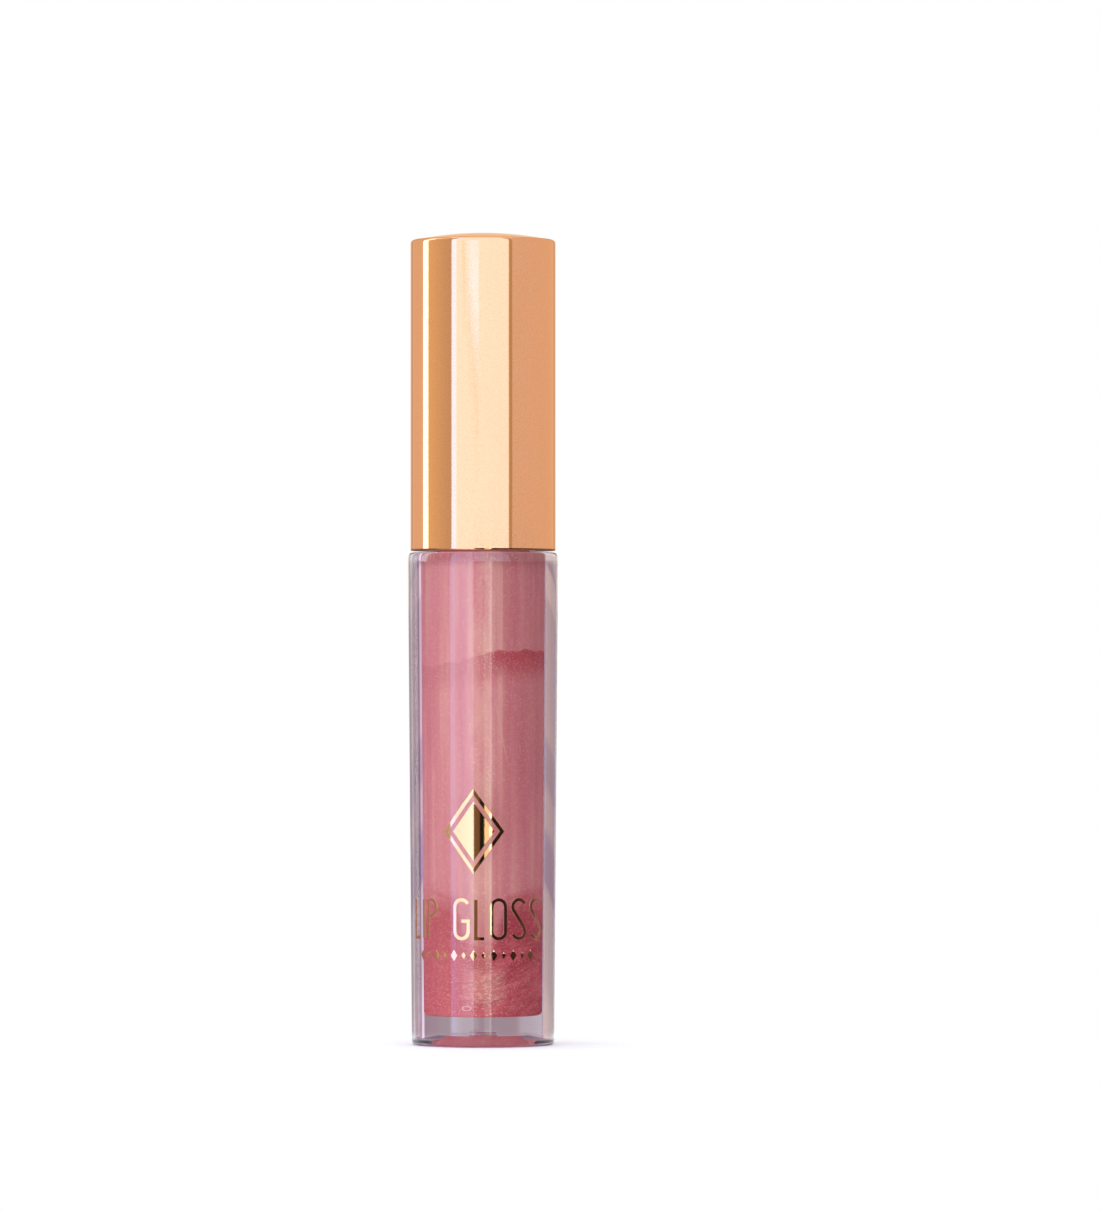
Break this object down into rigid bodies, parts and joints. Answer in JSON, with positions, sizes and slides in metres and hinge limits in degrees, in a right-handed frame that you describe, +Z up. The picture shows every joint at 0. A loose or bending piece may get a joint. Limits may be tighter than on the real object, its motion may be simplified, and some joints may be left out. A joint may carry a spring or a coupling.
{
  "type": "lip gloss tube",
  "caption": "Thick-walled clear round bottle of pearly gloss, with a tall metallised screw cap that carries a flocked wand through a wiper.",
  "frame": {"origin": "middle of the bottle's foot, on the surface that the tube stands on", "axes": "+Z up the tube's own axis, through the wand and the cap; -Y is the printed front"},
  "size_m": [0.018, 0.018, 0.0969],
  "materials": {
    "clear_plastic": "clear, polished, thick-walled copolyester",
    "wiper_plastic": "milky soft polyethylene",
    "gloss": "thick pink fluid with fine pearl and gold shimmer",
    "foil": "mirror-bright hot-stamped foil",
    "seal": "white foamed washer",
    "metallised_plastic": "vacuum-metallised, polished rose gold",
    "liner_plastic": "moulded polypropylene",
    "stem_plastic": "moulded white polypropylene",
    "tip_plastic": "flexible elastomer",
    "flock": "short nylon flock, stained with gloss"
  },
  "bodies": {
    "bottle": {"bottle": "clear_plastic", "wiper": "wiper_plastic", "gloss": "gloss", "foil_lozenge": "foil", "foil_lettering": "foil", "foil_row": "foil"},
    "seal": {"seal_ring": "seal"},
    "cap": {"cap_shell": "metallised_plastic", "liner": "liner_plastic", "stem": "stem_plastic", "tip_core": "tip_plastic", "flock": "flock"}
  },
  "joints": [
    {"name": "cap_lift", "type": "slide", "parent": "bottle", "child": "seal", "axis": [0, 0, 1], "range_m": [0, 0.07]},
    {"name": "cap_turn", "type": "hinge", "parent": "seal", "child": "cap", "pos_m": [0, 0, 0.065], "axis": [0, 0, 1], "range_deg": [0, 4200]}
  ],
  "couplings": [
    {"joint": "cap_lift", "follows": "cap_turn", "m_per_rad": 0.00095492}
  ]
}
